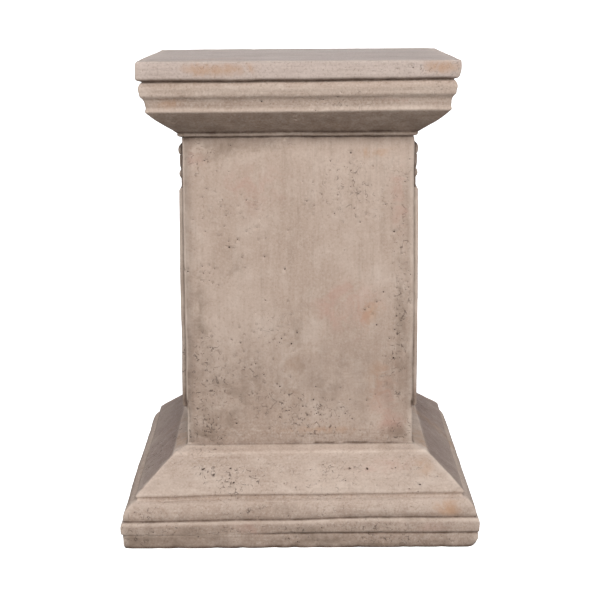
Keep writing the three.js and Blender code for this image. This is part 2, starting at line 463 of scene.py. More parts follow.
def body_points(rows, columns, rim):
    """Vertices as (row, column, xyz) in millimetres, and what the finish needs to know of each."""
    half = rows[:, None, 0]
    height = np.broadcast_to(rows[:, None, 1], (len(rows), len(columns)))
    side = columns[None, :, 0].astype(int)
    out, along = side_axes(side)
    outer = np.broadcast_to(np.arange(len(rows))[:, None] >= rim, height.shape)
    radius = np.minimum(np.where(outer, corner_radius(height), INSIDE_ROUND), half / 2)
    place = columns[None, :, 1] * (half - radius)
    turn = np.radians(columns[None, :, 2])
    reach = half - radius + radius * np.cos(turn)
    across = place + radius * np.sin(turn)
    lifted = relief_height(across, height) * (side % 2) * outer * on_shaft(height) * (turn == 0)
    xy = out * (reach + lifted)[..., None] + along * across[..., None]
    points = np.concatenate([xy, height[..., None]], -1).reshape(-1, 3)

    def flat(values):
        return np.broadcast_to(values, height.shape).flatten()

    facts = SimpleNamespace(
        side=flat(side),
        outer=flat(outer),
        corner=flat((columns[None, :, 2] > 0) | (np.abs(columns[None, :, 1]) == 1)),
        lifted=flat(lifted),
        across=flat(across),
        dirt_and_shade=flat(rows[:, None, 2]),
        wear_and_highlight=flat(rows[:, None, 3]),
    )
    return points, facts


# Swells are (height, size), of the whole casting and of the rough inside.
SWELLS = ((0.26, 120), (0.15, 36), (0.08, 12))
INSIDE_SWELLS = ((1.3, 45), (0.6, 20))
# Nothing moves up or down on the floor, and all of it does from this height on.
SETTLED = 6
# The top is sunk a little, and all stays this far inside the part's own box.
TOP_SUNK = 0.1
SUNK_FROM = (690, 700)
BOX_MARGIN = 0.02


def swell(points, parts):
    return sum(height * waves(points, size) for height, size in parts)


def unevenness(points, facts):
    """Adds a hand-finished casting's swells, wandering lines, lumps and knocks."""
    outward = points * (1, 1, 0)
    outward /= np.maximum(np.linalg.norm(outward, axis=1), 1)[:, None]
    clean = points.copy()
    for axis in range(3):
        points[:, axis] += swell(clean, SWELLS)
    points[:, 2] += wander(clean) * facts.outer
    points[:, 0] += bulge(clean) * facts.outer
    inside = ~facts.outer
    rough = swell(clean, INSIDE_SWELLS)
    points[inside] += outward[inside] * rough[inside][:, None]
    filled = plinth_groove_fill(clean, facts.side, facts.outer)
    points += outward * (FILL_DEPTH * filled)[:, None]
    facts.dirt_and_shade *= 1 - FILL_CLEANS * filled
    downward = np.array((0, 0, DOWNWARD)) * (clean[:, 2:] > CHIPS_FROM_ABOVE)
    knock(points, outward + downward, CHIPS + random_chips())
    # The foot stays on the floor, and nothing passes the part's own box.
    standing = clean[:, 2] <= 0
    points[standing, 2] = 0
    points[:, 2] = clean[:, 2] + ramp(clean[:, 2], 0, SETTLED) * (points[:, 2] - clean[:, 2])
    points[:, 2] -= TOP_SUNK * ramp(clean[:, 2], *SUNK_FROM)
    np.clip(points, LOW / MM + BOX_MARGIN, HIGH / MM - BOX_MARGIN, out=points)
    points[standing, 2] = 0


def body_faces(row_count, column_count):
    """Quads between neighbouring rows, as (row, column, 4)."""
    row = np.arange(row_count - 1)[:, None] * column_count
    column = np.arange(column_count)[None, :]
    after = (column + 1) % column_count
    upper = row + column_count
    return np.stack([row + column, row + after, upper + after, upper + column], -1)


# Shape: air pits, cut into blocks of quads

BLOCK = 3
# Clear stone round a pit, and how far its ragged rim may reach, as a share of its reach.
PIT_MARGIN = 0.45
RIM_SHARE = 1.25
# A pit's reach is the smallest plus a random gamma part, up to the largest.
SMALLEST_PIT = 0.42
LARGEST_PIT = 1.5
PIT_GAMMA = (1.3, 0.2)
# A block keeps its inner knots that lie further than this from each pit.
KNOT_SHARE = 1.3
KNOT_MARGIN = 0.3
# The rim has this many sides, more from LARGE_RIM on, and is ragged, flattened and turned.
RIM_SIDES = (6, 9)
LARGE_RIM = 0.8
RIM_RAGGED = (0.75, 1.12)
RIM_FLAT = (0.62, 1.0)
# The wall's foot lies inside the rim by this share, and this share of the depth down.
PIT_WALL = 0.76
WALL_DEPTH = 0.75
PIT_DEPTH = (0.9, 1.6)
SAME_PLACE = 1e-5
# Pits a square centimetre where the casting is clean, before the random clusters.
PIT_DENSITY = 0.014
CLUSTER_SIZE = 60
CLUSTERING = 1.4
# Porous places on the front are (x, z, reach across, reach up, how porous).
POROUS = [
    (-112, 478, 40, 50, 0.35), (-60, 455, 40, 40, 0.25), (62, 515, 44, 40, 0.35),
    (-135, 560, 24, 26, 0.35), (150, 440, 14, 70, 0.45), (148, 340, 14, 60, 0.7),
    (138, 255, 18, 46, 0.4), (-48, 300, 42, 34, 0.5), (-68, 232, 40, 34, 0.45),
    (-142, 262, 20, 40, 0.75), (-132, 196, 24, 36, 0.95), (-40, 190, 34, 26, 0.6),
    (8, 186, 26, 24, 1.0), (44, 172, 30, 24, 0.75), (138, 152, 24, 16, 1.1),
    (-142, 148, 22, 16, 1.0), (92, 190, 30, 26, 0.3), (-104, 92, 34, 16, 0.95),
    (-138, 106, 14, 9, 0.7), (-66, 108, 40, 16, 0.45), (58, 106, 30, 12, 0.6),
    (-30, 88, 70, 12, 0.35), (150, 96, 50, 20, 0.25), (-60, 56, 120, 16, 0.2),
    (-60, 28, 60, 10, 0.25), (170, 690, 60, 12, 0.35), (60, 688, 90, 12, 0.2),
    (30, 642, 60, 10, 0.4), (-190, 660, 30, 16, 0.35), (-240, 12, 16, 10, 1.0),
    (-6, 11, 20, 9, 1.0), (-196, 32, 18, 8, 1.0), (-226, 56, 20, 12, 0.8), (-80, 54, 30, 8, 0.7),
    (-120, 31, 110, 8, 0.45), (120, 12, 120, 9, 0.4), (60, 31, 120, 7, 0.3),
]
POROUS_BEHIND = 22
POROUS_STRENGTH = 0.8
# Pits a square centimetre where it is most porous.
POROUS_PITS = 1.1
# A quad may hold a pit between these heights, where the section's own darkening, of patina and
# painted shade, is less than this.
PITS_BETWEEN = (5, 695)
QUIRK_DIRT = 0.5
# The largest pits of the front, given as (x, z, reach).
LARGE_PITS = [
    (-144, 105, 3.0), (-132, 100, 2.8), (-105, 106, 2.2), (-103, 90, 2.0), (73, 106, 2.6),
    (100, 105, 2.6), (178, 87, 2.3), (-6, 12, 2.4), (-196, 32, 2.0), (-20, 396, 1.3),
    (-3, 301, 1.3), (52, 478, 1.2), (146, 296, 1.4), (139, 262, 1.5),
]


# Random patches lie between these places across and up, reach this far across and up, and have
# this share of the strength.
PATCH_SPANS = ((-150, 150), (40, 690), (20, 50), (14, 60))
PATCH_SHARE = (0.4, 1)


def patches(points, facts, listed, behind, strength):
    """The listed patches on the front, and others of the same kind at random places behind."""
    total = np.zeros(len(points))
    places = [(0, *patch) for patch in listed]
    for _ in range(behind):
        shape = [rng.uniform(*span) for span in PATCH_SPANS]
        places.append((rng.integers(1, 4), *shape, strength * rng.uniform(*PATCH_SHARE)))
    for side, x, z, wide, tall, amount in places:
        distance = ((facts.across - x) / wide) ** 2 + ((points[:, 2] - z) / tall) ** 2
        total += amount * np.exp(-distance) * (facts.side == side)
    return total * facts.outer


def open_quads(points, quads, facts):
    """Quads that may hold a pit: on the outside, and not on the top, the relief or a quirk."""
    centre = points[quads].mean(axis=1)
    low, high = PITS_BETWEEN
    free = facts.outer[quads].all(axis=1) & (centre[:, 2] > low) & (centre[:, 2] < high)
    free &= (facts.lifted[quads] == 0).all(axis=1)
    return free & (facts.dirt_and_shade[quads].max(axis=1) < QUIRK_DIRT)


def scatter_pits(width, height, expected, large):
    """Pits of one block as (x, y, reach, ring). The large ones have x and y as shares of its size."""
    wanted = [(share_x * width, share_y * height, reach) for share_x, share_y, reach in large]
    for _ in range(rng.poisson(expected)):
        reach = min(SMALLEST_PIT + rng.gamma(*PIT_GAMMA), LARGEST_PIT)
        wanted.append((rng.uniform(0, width), rng.uniform(0, height), reach))
    found = []
    for x, y, reach in wanted:
        edge = RIM_SHARE * reach + PIT_MARGIN
        if 2 * edge >= min(width, height):
            continue
        x, y = min(max(x, edge), width - edge), min(max(y, edge), height - edge)
        if any(math.hypot(x - p[0], y - p[1]) < RIM_SHARE * (reach + p[2]) + PIT_MARGIN for p in found):
            continue
        sides = RIM_SIDES[0] if reach < LARGE_RIM else RIM_SIDES[1]
        turn = np.arange(sides) * 2 * math.pi / sides + rng.uniform(0, 1)
        ragged = reach * rng.uniform(*RIM_RAGGED, sides)
        flat = rng.uniform(*RIM_FLAT)
        tilt = rng.uniform(0, math.pi)
        ring = np.stack([np.cos(turn), flat * np.sin(turn)], -1) * ragged[:, None]
        spin = np.array([[math.cos(tilt), math.sin(tilt)], [-math.sin(tilt), math.cos(tilt)]])
        found.append((x, y, reach, ring @ spin + (x, y)))
    return found


def inside_ring(place, ring):
    """Whether place lies inside the closed ring of points."""
    a, b = ring, np.roll(ring, -1, axis=0)
    crosses = (a[:, 1] > place[1]) != (b[:, 1] > place[1])
    slope = (place[1] - a[crosses, 1]) / (b[crosses, 1] - a[crosses, 1])
    return np.count_nonzero(a[crosses, 0] + slope * (b[crosses, 0] - a[crosses, 0]) > place[0]) % 2 == 1


def round_border(rows, columns):
    """The (row, column) of each vertex round a block's border, in order."""
    border = [(0, j) for j in range(columns - 1)] + [(i, columns - 1) for i in range(rows - 1)]
    border += [(rows - 1, j) for j in range(columns - 1, 0, -1)]
    return border + [(i, 0) for i in range(rows - 1, 0, -1)]


class PitCutter:
    """Cuts pits into a grid of quads, and keeps what the mesh needs of the new vertices."""

    def __init__(self, points):
        self.points = points
        self.added = []
        self.triangles = []
        self.rims = []

    def add(self, owners, shares, sunk):
        self.added.append((owners, shares, sunk))
        return len(self.points) + len(self.added) - 1

    def sink(self, locate, x, y, ring, depth):
        """Adds the wall and the bottom of a pit inside its ring. Returns the rim's vertices."""
        rim = [self.add(*locate(*place), 0.0) for place in ring]
        inner = (x, y) + (ring - (x, y)) * PIT_WALL
        wall = [self.add(*locate(*place), WALL_DEPTH * depth) for place in inner]
        bottom = self.add(*locate(x, y), depth)
        for k in range(len(ring)):
            after = (k + 1) % len(ring)
            self.triangles.append((rim[k], rim[after], wall[after]))
            self.triangles.append((rim[k], wall[after], wall[k]))
            self.triangles.append((wall[k], wall[after], bottom))
            self.rims.append((rim[k], rim[after]))
        return rim

    def block(self, ids, expected, large):
        """Cuts one block, whose vertices are ids (rows, columns). Returns whether it took a pit."""
        grid = self.points[ids]
        steps_x = np.linalg.norm(np.diff(grid, axis=1), axis=2).mean(axis=0)
        steps_y = np.linalg.norm(np.diff(grid, axis=0), axis=2).mean(axis=1)
        knots_x = np.concatenate([[0], np.cumsum(steps_x)])
        knots_y = np.concatenate([[0], np.cumsum(steps_y)])
        pits = scatter_pits(knots_x[-1], knots_y[-1], expected, large)
        if not pits:
            return False

        def locate(x, y):
            column = min(max(np.searchsorted(knots_x, x) - 1, 0), len(steps_x) - 1)
            row = min(max(np.searchsorted(knots_y, y) - 1, 0), len(steps_y) - 1)
            u = (x - knots_x[column]) / steps_x[column]
            v = (y - knots_y[row]) / steps_y[row]
            owners = ids[[row, row, row + 1, row + 1], [column, column + 1, column + 1, column]]
            return owners, ((1 - u) * (1 - v), u * (1 - v), u * v, (1 - u) * v)

        border = round_border(*ids.shape)
        flat = [Vector((knots_x[j], knots_y[i])) for i, j in border]
        known = [ids[i, j] for i, j in border]
        edges = [(k, (k + 1) % len(border)) for k in range(len(border))]
        for i in range(1, ids.shape[0] - 1):
            for j in range(1, ids.shape[1] - 1):
                x, y = knots_x[j], knots_y[i]
                if all(math.hypot(x - p[0], y - p[1]) > KNOT_SHARE * p[2] + KNOT_MARGIN for p in pits):
                    flat.append(Vector((x, y)))
                    known.append(ids[i, j])
        for x, y, reach, ring in pits:
            start, sides = len(flat), len(ring)
            flat += [Vector(place) for place in ring]
            edges += [(start + k, start + (k + 1) % sides) for k in range(sides)]
            known += self.sink(locate, x, y, ring, reach * rng.uniform(*PIT_DEPTH))
        made, _, faces, origins, _, _ = delaunay_2d_cdt(flat, edges, [], 0, SAME_PLACE)
        names = [known[origin[0]] for origin in origins]
        for face in faces:
            middle = sum((made[k] for k in face), Vector((0, 0))) / 3
            if not any(inside_ring(middle, p[3]) for p in pits):
                self.triangles.append(tuple(names[k] for k in face))
        return True

    def finish(self):
        """All points with the new ones, each new one's owners and shares, and how deep it lies."""
        owners, shares, sunk = (np.array(part) for part in zip(*self.added))
        corners = self.points[owners]
        normal = np.cross(corners[:, 2] - corners[:, 0], corners[:, 3] - corners[:, 1])
        normal /= np.linalg.norm(normal, axis=1)[:, None]
        added = (corners * shares[..., None]).sum(axis=1) - normal * sunk[:, None]
        return np.concatenate([self.points, added]), owners, shares, sunk


def cut_pits(points, quads, facts):
    """Cuts pits all over the outside. quads is (row, column, 4). Returns the cutter and kept quads."""
    flat_quads = quads.reshape(-1, 4)
    centre = points[flat_quads].mean(axis=1)
    density = PIT_DENSITY * np.exp(CLUSTERING * waves(centre, CLUSTER_SIZE))
    density += POROUS_PITS * facts.porous[flat_quads].mean(axis=1)
    density = density.reshape(quads.shape[:2])
    free = open_quads(points, flat_quads, facts).reshape(quads.shape[:2])
    kept = np.ones(quads.shape[:2], bool)
    cutter = PitCutter(points)
    height, width = quads.shape[:2]
    for i in range(0, height - BLOCK, BLOCK):
        for j in range(0, width, BLOCK):
            place = (slice(i, i + BLOCK), slice(j, j + BLOCK))
            if not free[place].all():
                continue
            columns = np.arange(j, min(j + BLOCK, width) + 1) % width
            ids = np.arange(i, i + BLOCK + 1)[:, None] * width + columns
            corner = points[ids[0, 0]]
            across = points[ids[0, -1]] - corner
            up = points[ids[-1, 0]] - corner
            area = np.linalg.norm(np.cross(across, up)) / 100
            large = []
            if facts.side[ids[0, 0]] == 0:
                for x, z, reach in LARGE_PITS:
                    share_x, share_y = (x - corner[0]) / across[0], (z - corner[2]) / up[2]
                    if 0 <= share_x < 1 and 0 <= share_y < 1:
                        large.append((share_x, share_y, reach))
            if cutter.block(ids, density[place].mean() * area, large):
                kept[place] = False
    return cutter, quads[kept]


# Finish: where the patina, the rubbing and the stains lie

# Soft patches on the front are (x, z, reach across, reach up, strength).
WARM = [
    (-112, 689, 44, 10, 0.9), (-150, 688, 20, 8, 0.4), (196, 690, 26, 9, 0.8),
    (-178, 640, 18, 8, 0.7), (104, 330, 16, 18, 0.7), (120, 230, 26, 46, 0.35),
    (214, 57, 18, 10, 1.0), (186, 104, 20, 14, 0.45), (40, 152, 60, 6, 0.5),
    (112, 566, 22, 10, 0.5), (-20, 240, 40, 60, 0.2),
]
PINK = [
    (-60, 512, 60, 34, 0.4), (70, 340, 44, 40, 0.6), (128, 200, 22, 50, 0.55),
    (140, 162, 18, 16, 0.6), (148, 500, 14, 60, 0.45), (-150, 560, 20, 16, 0.4),
    (120, 106, 50, 12, 0.4), (-76, 30, 30, 10, 0.5), (190, 30, 60, 10, 0.3), (150, 644, 50, 8, 0.3),
]
GREY = [
    (-142, 146, 20, 12, 0.6), (142, 148, 20, 12, 0.75), (-146, 340, 12, 60, 0.6),
    (-100, 400, 26, 30, 0.35), (-10, 310, 26, 30, 0.35), (-120, 574, 40, 20, 0.6),
    (-60, 578, 50, 10, 0.55), (-124, 165, 30, 24, 0.5), (148, 330, 9, 90, 0.6),
    (-60, 500, 50, 20, 0.25), (30, 12, 60, 8, 0.8), (-190, 14, 90, 22, 0.8),
    (-250, 12, 16, 10, 0.9), (120, 6, 34, 3, 0.7), (196, 9, 22, 3, 0.7), (150, 44, 60, 4, 0.5),
    (-120, 214, 60, 60, 0.3), (30, 226, 110, 50, 0.3), (-40, 58, 50, 8, 0.5), (20, 28, 30, 8, 0.6),
    (-170, 615, 26, 12, 0.5),
]
PATCHES_BEHIND = 9


# The shaft is darkened at (height, reach, how much): with patina and painted shade at its top under
# the cap and at its foot, with painted shade between. From one height down to another it gets
# painted shade, darker towards the bottom, for light that falls off lower down.
SHAFT_DARKENING = ((SHAFT_TOP, 7, 0.38), (230, 80, 0.14), (SHAFT_FOOT, 22, 0.12))
LOWER_SHADE = (560, 140, 0.13)
# Beside the arrises of front and back it is painted shade, where the rounding turns from the
# light, as (reach, how much), and more on the front's left, where patina in the crease adds to it.
ARRIS_SHADE = (14, 0.14)
LEFT_ARRIS_DIRT_AND_SHADE = (9, 0.36)
# A thin dark crack runs along the shaft's foot on the front: its (height, reach) and where it
# starts and ends across. Waves of this size break it.
CRACK = (133.1, 1.2)
CRACK_SPAN = (-12, 4, 130, 150)
CRACK_GAPS = 11
CRACK_KEPT = (-0.8, 0.7)
CRACK_DIRT = 0.8
# The front's arrises are rubbed light below the side reliefs, with a painted shadow where these end.
FRONT_ARRIS_REACH = 6
BESIDE_FRONT = (164.2, 166.5)
END_SPOT = (194, 6)
END_SPOT_SHADOW = 0.9
FRONT_RUB_SPAN = (126, 130, 182, 190)
FRONT_RUB = 1.1


def finish_shaft(points, facts, shaft):
    x, y, height = points.T
    dirt_and_shade, wear_and_highlight = facts.dirt_and_shade, facts.wear_and_highlight
    # Patina and painted shade at the shaft's top under the cap and at its foot, painted shade between.
    for level, reach, strength in SHAFT_DARKENING:
        dirt_and_shade += shaft * strength * near(height, level, reach)
    # Painted shade, darker towards the bottom of the shaft, for light that falls off lower down.
    highest, lowest, strength = LOWER_SHADE
    dirt_and_shade += shaft * strength * ramp(height, highest, lowest)
    from_arris = SHAFT_HALF - np.abs(facts.across)
    front_and_back = facts.side % 2 == 0
    left_of_front = (facts.side == 0) & (facts.across < 0)
    # Painted shade beside the arrises, where the rounding turns from the light, with patina in the
    # crease on the front's left.
    for where, (reach, strength) in ((front_and_back, ARRIS_SHADE), (left_of_front, LEFT_ARRIS_DIRT_AND_SHADE)):
        dirt_and_shade += shaft * where * strength * near(from_arris, 0, reach)
    off_arris = np.hypot(np.abs(x) - SHAFT_HALF, y + SHAFT_HALF)
    arris = near(off_arris, 0, FRONT_ARRIS_REACH) * facts.outer
    # Painted shadow in the gap where the side reliefs end beside the front's arrises.
    dirt_and_shade += END_SPOT_SHADOW * arris * ramp(np.abs(x), *BESIDE_FRONT) * near(height, *END_SPOT)
    wear_and_highlight += FRONT_RUB * arris * between(height, *FRONT_RUB_SPAN)
    crack = near(height, *CRACK) * (facts.side == 0)
    crack *= between(facts.across, *CRACK_SPAN)
    dirt_and_shade += CRACK_DIRT * crack * ramp(waves(points, CRACK_GAPS), *CRACK_KEPT)


# The upright corners are rubbed up to these heights, and more about the shaft's foot.
CORNER_WEAR = ((590, 0.45), (699, 0.15))
FOOT_WEAR = (14, 0.5)


def finish_corners(height, facts, shaft):
    corner = facts.corner * facts.outer
    for top, strength in CORNER_WEAR:
        facts.wear_and_highlight += strength * corner * (height < top)
    reach, strength = FOOT_WEAR
    facts.wear_and_highlight += strength * facts.corner * shaft * near(height, SHAFT_FOOT, reach)


# How far dirt reaches from an edge of the relief, and how strong it is beside the relief, between
# the tongues and inside the frame.
EDGE_DIRT_REACH = 4
BESIDE_DIRT = 0.95
TONGUE_DIRT = 0.55
FRAME_DIRT_REACH = 3
FRAME_DIRT_FROM = -0.5
FRAME_DIRT = 0.6
# What stands out this much has none beside it, and between the tongues it thins out upwards.
CLEAN_FROM = GROUND + 0.5
VALLEY = (1.26, 0.36)
# What stands out more than GROUND is rubbed from here to there. The tablet's upright edges get
# a painted highlight above their foot, on their walls that face front and back, and a painted
# shadow at their foot.
PROUD_RUBBED = (1.5, 3.5)
PROUD_WEAR = 0.25
UPRIGHT_REACH = 1.5
UPRIGHT_HIGHLIGHT = 1.3
UPRIGHT_LIFT = (1, 4)
UPRIGHT_FROM = (205, 215)
UPRIGHT_FOOT = (190, 8)
UPRIGHT_FOOT_SHADOW = 0.8


def finish_relief(height, facts, shaft):
    dirt_and_shade, wear_and_highlight = facts.dirt_and_shade, facts.wear_and_highlight
    carved = (facts.side % 2 == 1) & shaft
    across, lifted = np.abs(facts.across), facts.lifted
    from_side = np.abs(across - RELIEF_HALF)
    level = (height > RELIEF_LOW - EDGE_DIRT_REACH) & (height < RELIEF_HIGH + EDGE_DIRT_REACH)
    beside = np.exp(-from_side / EDGE_DIRT_REACH) * level
    under = np.exp(-np.abs(height - RELIEF_LOW) / EDGE_DIRT_REACH)
    under = under * (across < RELIEF_HALF + EDGE_DIRT_REACH / 2)
    low = ramp(lifted, CLEAN_FROM, 0)
    dirt_and_shade += carved * low * np.maximum(beside, under) * BESIDE_DIRT
    in_frieze = (height > FRAME_TOP) & (height < RELIEF_HIGH) & (across < RELIEF_HALF)
    valley = ramp(lifted - GROUND, *VALLEY)
    dirt_and_shade += carved * in_frieze * valley * TONGUE_DIRT
    inner = np.minimum(height - RELIEF_LOW, FRAME_TOP - height)
    inner = np.minimum(inner, RELIEF_HALF - across) - FRAME_WIDTH
    dirt_and_shade += carved * np.exp(-np.abs(inner) / FRAME_DIRT_REACH) * (inner > FRAME_DIRT_FROM) * FRAME_DIRT
    wear_and_highlight += carved * ramp(lifted - GROUND, *PROUD_RUBBED) * PROUD_WEAR
    # Painted highlight on the front- and back-facing walls of the tablet's upright edges, and painted
    # shadow at their foot.
    upright_edge = carved * np.exp(-from_side / UPRIGHT_REACH)
    wear_and_highlight += UPRIGHT_HIGHLIGHT * upright_edge * ramp(lifted, *UPRIGHT_LIFT) * ramp(height, *UPRIGHT_FROM)
    dirt_and_shade += UPRIGHT_FOOT_SHADOW * upright_edge * near(height, *UPRIGHT_FOOT)


# The ledge round the shaft's foot lies between these heights. Its ends on the front are rubbed,
# and it is soiled round the corner from there back.
LEDGE_SPAN = (121, 124, 131, 134)
LEDGE_RUB = 0.7
LEDGE_RUB_AHEAD = (163, 169)
LEDGE_RUB_ACROSS = (164, 171)
SOILED_SPAN = (60, 110, 164, 170)
SOILED_DIRT = 0.1
SOILED_WARM = 0.5
# The slopes of the sides lie between these heights, and get painted shade, more higher up and on
# the right.
SLOPE_SPAN = (74, 84, 121, 124)
SLOPE_SHADE = 0.12
SLOPE_SHADE_HIGH = (88, 104, 0.06)
SLOPE_SHADE_RIGHT = (0, 100, 0.05)


def finish_base(points, facts):
    """Finishes the ledge and the side slopes. Returns where the ledge is soiled, and the slopes."""
    x, y, height = points.T
    sides = facts.side % 2 == 1
    ledge = facts.outer * between(height, *LEDGE_SPAN)
    facts.wear_and_highlight += LEDGE_RUB * ledge * ramp(-y, *LEDGE_RUB_AHEAD) * ramp(np.abs(x), *LEDGE_RUB_ACROSS)
    darkened = ledge * sides * between(-y, *SOILED_SPAN)
    facts.dirt_and_shade += SOILED_DIRT * darkened
    slope = sides * facts.outer * between(height, *SLOPE_SPAN)
    # Painted shade on the side slopes, which face away from the front light; more on the right, which
    # the key light reaches more.
    strength = SLOPE_SHADE
    for place, (first, last, more) in ((height, SLOPE_SHADE_HIGH), (x, SLOPE_SHADE_RIGHT)):
        strength = strength + more * ramp(place, first, last)
    facts.dirt_and_shade += slope * strength
    return darkened, slope


# The shaft's own brush marks start at these heights, and the top's and the slab's painted light:
# a cool sheen on the top, and a paler, cooler tone on the slab and the top.
BRUSHED_UP_FROM = (148, 172)
TOP_FROM = (697, 699.5)
SLAB_FROM = (673, 677)
PATCH_STRENGTH = 0.7


def finish_masks(points, facts):
    """Named masks, one value a vertex, that the stone's material reads."""
    height = points[:, 2]
    shaft = on_shaft(height) & facts.outer
    finish_shaft(points, facts, shaft)
    finish_corners(height, facts, shaft)
    finish_relief(height, facts, shaft)
    darkened, slope = finish_base(points, facts)
    masks = {
        "dirt_and_shade": np.clip(facts.dirt_and_shade, 0, 1),
        "wear_and_highlight": np.clip(facts.wear_and_highlight, 0, 1),
        "upright": shaft * ramp(height, *BRUSHED_UP_FROM),
        # The top and the slab, which carry painted light: a cool sheen on the top, a paler, cooler tone
        # on both.
        "above": ramp(height, *TOP_FROM) * facts.outer,
        "pale": ramp(height, *SLAB_FROM) * facts.outer,
        "porous": facts.porous,
        # The side slopes, which carry painted shade.
        "shaded_side_slopes": slope,
    }
    for name, listed in (("warm", WARM), ("pink", PINK), ("grey", GREY)):
        masks[name] = patches(points, facts, listed, PATCHES_BEHIND, PATCH_STRENGTH)
    masks["warm"] += SOILED_WARM * darkened
    return masks


# The mesh


def new_object(name, data):
    thing = bpy.data.objects.new(name, data)
    bpy.context.collection.objects.link(thing)
    return thing


def make_mesh(points, quads, triangles):
    vertices = points * MM
    mesh = bpy.data.meshes.new("cast_body")
    loops = np.concatenate([quads.ravel(), triangles.ravel()])
    starts = np.concatenate(
        [np.arange(len(quads)) * 4, len(quads) * 4 + np.arange(len(triangles)) * 3]
    )
    mesh.vertices.add(len(vertices))
    mesh.vertices.foreach_set("co", vertices.ravel())
    mesh.loops.add(len(loops))
    mesh.loops.foreach_set("vertex_index", loops.astype(np.int32))
    mesh.polygons.add(len(starts))
    mesh.polygons.foreach_set("loop_start", starts.astype(np.int32))
    mesh.update(calc_edges=True)
    mesh.validate()
    return mesh


def mark_sharp(mesh, wanted):
    """Keeps the shading crisp along the edges in wanted, given as pairs of vertices."""
    ends = np.empty(len(mesh.edges) * 2, np.int32)
    mesh.edges.foreach_get("vertices", ends)
    ends = np.sort(ends.reshape(-1, 2), axis=1)
    wanted = np.sort(wanted, axis=1)
    size = len(mesh.vertices)
    sharp = np.isin(ends[:, 0] * size + ends[:, 1], wanted[:, 0] * size + wanted[:, 1])
    layer = mesh.attributes.new("sharp_edge", "BOOLEAN", "EDGE")
    layer.data.foreach_set("value", sharp)


def store_masks(mesh, masks):
    for name, values in masks.items():
        layer = mesh.attributes.new(name, "FLOAT", "POINT")
        layer.data.foreach_set("value", values.astype(np.float32))


def cast_body():
    rows, rim = section()
    columns = plan_columns()
    points, facts = body_points(rows, columns, rim)
    facts.porous = patches(points, facts, POROUS, POROUS_BEHIND, POROUS_STRENGTH)
    unevenness(points, facts)
    masks = finish_masks(points, facts)
    quads = body_faces(len(rows), len(columns))
    grid = len(points)
    cutter, kept = cut_pits(points, quads, facts)
    points, owners, shares, sunk = cutter.finish()
    # The first and the last row close on a middle point each.
    last = grid - len(columns)
    inner_middle, top_middle = len(points), len(points) + 1
    ring = np.arange(len(columns))
    after = (ring + 1) % len(columns)
    inner_cap = np.stack([after, ring, np.full_like(ring, inner_middle)], -1)
    top_cap = np.stack([last + ring, last + after, np.full_like(ring, top_middle)], -1)
    middles = [points[: len(columns)].mean(axis=0), points[last:grid].mean(axis=0)]
    points = np.concatenate([points, middles])
    triangles = np.concatenate([np.array(cutter.triangles), inner_cap, top_cap])
    for name, values in masks.items():
        masks[name] = np.concatenate([values, (values[owners] * shares).sum(axis=1), [0, 0]])
    masks["pit"] = np.concatenate([np.zeros(grid), (sunk > 0).astype(float), [0, 0]])
    # Grid points that a block with pits left out are dropped.
    used = np.zeros(len(points), bool)
    used[kept.ravel()] = True
    used[triangles.ravel()] = True
    number = np.cumsum(used) - 1
    mesh = make_mesh(points[used], number[kept], number[triangles])
    mark_sharp(mesh, number[np.array(cutter.rims)])
    store_masks(mesh, {name: values[used] for name, values in masks.items()})
    mesh.shade_smooth()
    return new_object("cast_pedestal", mesh)


# The stone's material


def linear(red, green, blue):
    """A colour given as 0 to 255 screen values, in the linear values that shaders take."""
    shares = [value / 255 for value in (red, green, blue)]
    return tuple(s / 12.92 if s <= 0.04045 else ((s + 0.055) / 1.055) ** 2.4 for s in shares) + (1,)


